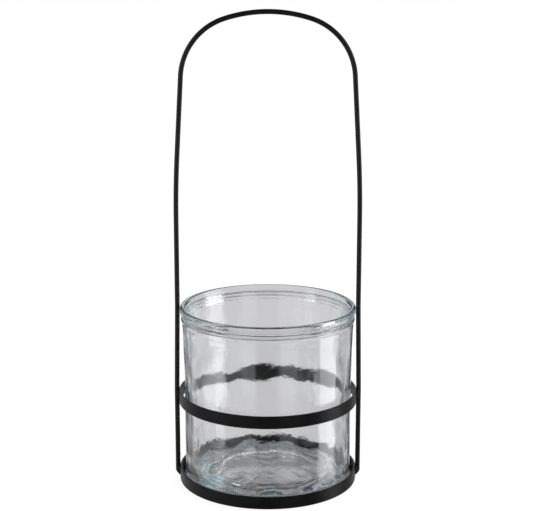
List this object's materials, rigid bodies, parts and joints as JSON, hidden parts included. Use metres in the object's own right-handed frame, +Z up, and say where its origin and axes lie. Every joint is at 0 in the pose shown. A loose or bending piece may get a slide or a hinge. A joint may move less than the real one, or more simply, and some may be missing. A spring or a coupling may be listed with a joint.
{
  "type": "candle lantern",
  "caption": "Clear pressed-glass candle jar that lifts out of a black iron hoop holder with a tall arched rod handle.",
  "frame": {"origin": "on the floor under the middle of the base hoop", "axes": "+Z up along the jar's axis; +X from the jar's axis to the right leg of the handle; +Y to the back, through the handle's opening"},
  "size_m": [0.1686, 0.16, 0.421],
  "materials": {
    "black_iron": "satin black paint",
    "clear_glass": "clear pressed glass"
  },
  "bodies": {
    "holder": {"base_hoop": "black_iron", "base_plate": "black_iron", "mid_hoop": "black_iron", "handle": "black_iron", "weld_base_left": "black_iron", "weld_base_right": "black_iron", "weld_mid_left": "black_iron", "weld_mid_right": "black_iron", "plate_welds": "black_iron"},
    "jar": {"glass_jar": "clear_glass"}
  },
  "joints": [
    {"name": "jar_lift", "type": "slide", "parent": "holder", "child": "jar", "axis": [0, 0, 1], "range_m": [0, 0.0825]}
  ]
}
